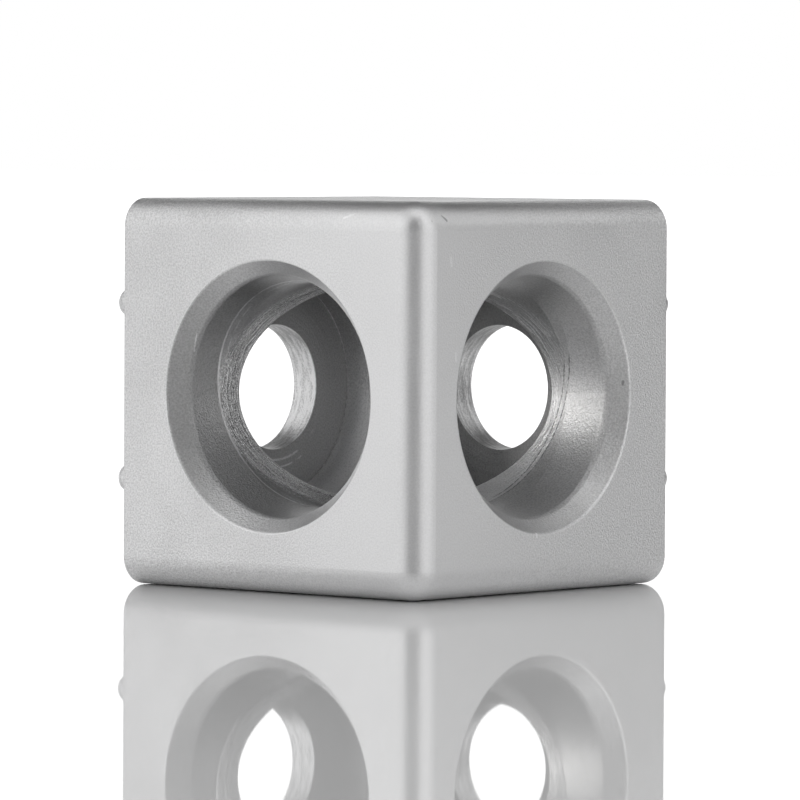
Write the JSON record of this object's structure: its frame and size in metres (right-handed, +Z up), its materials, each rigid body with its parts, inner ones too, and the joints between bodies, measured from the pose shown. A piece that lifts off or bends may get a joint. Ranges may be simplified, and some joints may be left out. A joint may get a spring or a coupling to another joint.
{
  "type": "two way corner connector block",
  "caption": "Cubic cast aluminium corner block for slotted profile, with crossing screw bores at right angles and locating nubs on its mating faces.",
  "frame": {"origin": "middle of the base, straight below the point where the two bores cross", "axes": "+X and +Y are the bore axes and point out of the two mating faces, and +Z is up"},
  "size_m": [0.0212, 0.0212, 0.02],
  "materials": {
    "blasted_aluminium": "bead-blasted die casting, satin and fine-grained, with machined bores left dull"
  },
  "bodies": {
    "root": {"corner_block": "blasted_aluminium"}
  },
  "joints": []
}
